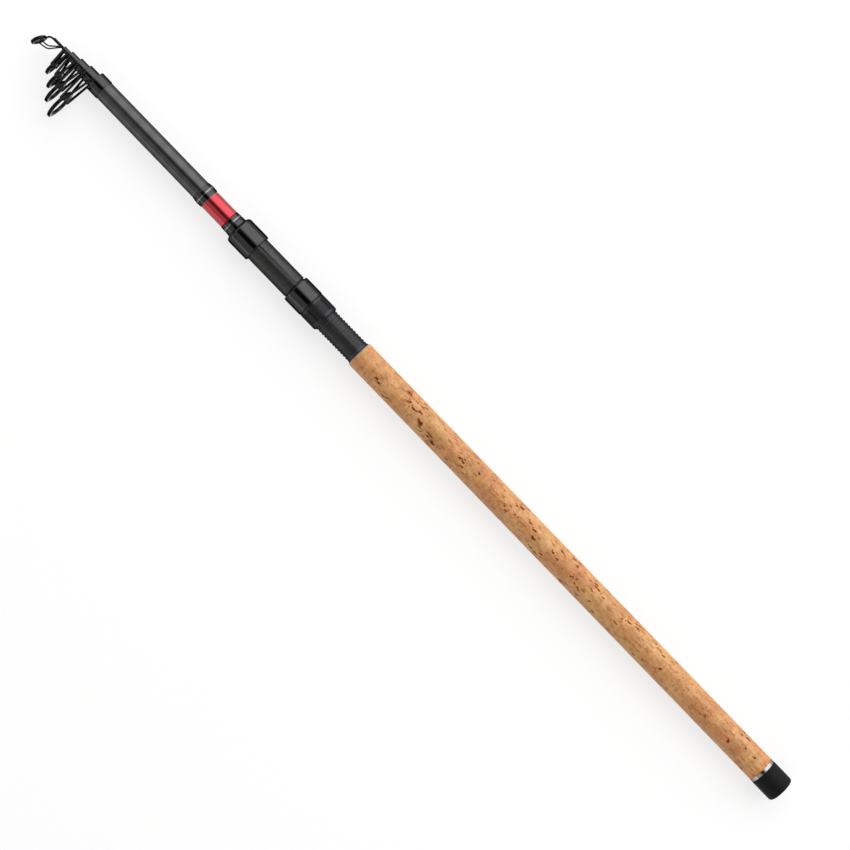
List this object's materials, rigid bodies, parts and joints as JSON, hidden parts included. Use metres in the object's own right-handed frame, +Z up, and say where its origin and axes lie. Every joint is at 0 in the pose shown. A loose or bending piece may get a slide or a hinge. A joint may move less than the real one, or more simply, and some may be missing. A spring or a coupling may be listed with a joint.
{
  "type": "telescopic fishing rod",
  "caption": "Telescopic fishing rod slid together, with a long cork butt grip, a screw-down reel seat, a red band, ringed wire guides and a rubber butt cap.",
  "frame": {"origin": "centre of the butt cap's end face", "axes": "+X along the rod from the butt to the tip, +Y the way the guides point, +Z up as the rod lies on a table"},
  "size_m": [1.007, 0.0703, 0.032],
  "materials": {
    "carbon_blank": "carbon composite under clear gloss lacquer",
    "black_whipping": "black thread under gloss epoxy",
    "bright_trim": "polished",
    "red_lacquer": "bright red lacquer under clear gloss",
    "seat_plastic": "glass-filled nylon, finely textured",
    "hood_metal": "black anodised, polished",
    "card_bush": "wound masking tape soaked in epoxy",
    "cork": "natural cork, sanded",
    "black_rubber": "matte moulded rubber",
    "guide_wire": "black-plated steel wire, glossy",
    "guide_ceramic": "dark oxide ceramic, polished"
  },
  "bodies": {
    "butt": {"butt_blank": "carbon_blank", "mouth_collar": "carbon_blank", "front_wrap": "black_whipping", "front_trim_ring": "bright_trim", "red_band": "red_lacquer", "rear_wrap": "black_whipping", "rear_trim_ring": "bright_trim", "winding_check": "black_whipping", "reel_seat": "seat_plastic", "front_hood": "hood_metal", "seat_arbors": "card_bush", "rear_collar": "black_whipping", "cork_grip": "cork", "butt_trim_ring": "bright_trim", "plug_insert": "bright_trim"},
    "cap": {"butt_cap": "black_rubber", "butt_plug": "seat_plastic", "cushion_pad": "black_rubber"},
    "hood": {"moving_hood": "hood_metal", "hood_liner": "seat_plastic"},
    "nut": {"lock_nut": "hood_metal"},
    "section_2": {"section_2": "carbon_blank", "guide_1_frame": "guide_wire", "guide_1_ring": "guide_ceramic"},
    "section_3": {"section_3": "carbon_blank", "guide_2_frame": "guide_wire", "guide_2_ring": "guide_ceramic"},
    "section_4": {"section_4": "carbon_blank", "guide_3_frame": "guide_wire", "guide_3_ring": "guide_ceramic"},
    "section_5": {"section_5": "carbon_blank", "guide_4_frame": "guide_wire", "guide_4_ring": "guide_ceramic"},
    "tip": {"tip_section": "carbon_blank", "tip_top_frame": "guide_wire", "tip_top_ring": "guide_ceramic"}
  },
  "joints": [
    {"name": "section_2_draw", "type": "slide", "parent": "butt", "child": "section_2", "axis": [1, 0, 0], "range_m": [0, 0.8172]},
    {"name": "section_3_draw", "type": "slide", "parent": "section_2", "child": "section_3", "axis": [1, 0, 0], "range_m": [0, 0.8399]},
    {"name": "section_4_draw", "type": "slide", "parent": "section_3", "child": "section_4", "axis": [1, 0, 0], "range_m": [0, 0.8609]},
    {"name": "section_5_draw", "type": "slide", "parent": "section_4", "child": "section_5", "axis": [1, 0, 0], "range_m": [0, 0.8816]},
    {"name": "tip_draw", "type": "slide", "parent": "section_5", "child": "tip", "axis": [1, 0, 0], "range_m": [0, 0.9054]},
    {"name": "nut_turn", "type": "hinge", "parent": "hood", "child": "nut", "pos_m": [0.632, 0, 0], "axis": [1, 0, 0], "range_deg": [-3900, 1800]},
    {"name": "hood_slide", "type": "slide", "parent": "butt", "child": "hood", "axis": [1, 0, 0], "range_m": [-0.0391, 0.0181]},
    {"name": "cap_pull", "type": "slide", "parent": "butt", "child": "cap", "axis": [-1, 0, 0], "range_m": [0, 0.02]}
  ],
  "couplings": [
    {"joint": "hood_slide", "follows": "nut_turn", "m_per_rad": 0.00057296}
  ]
}
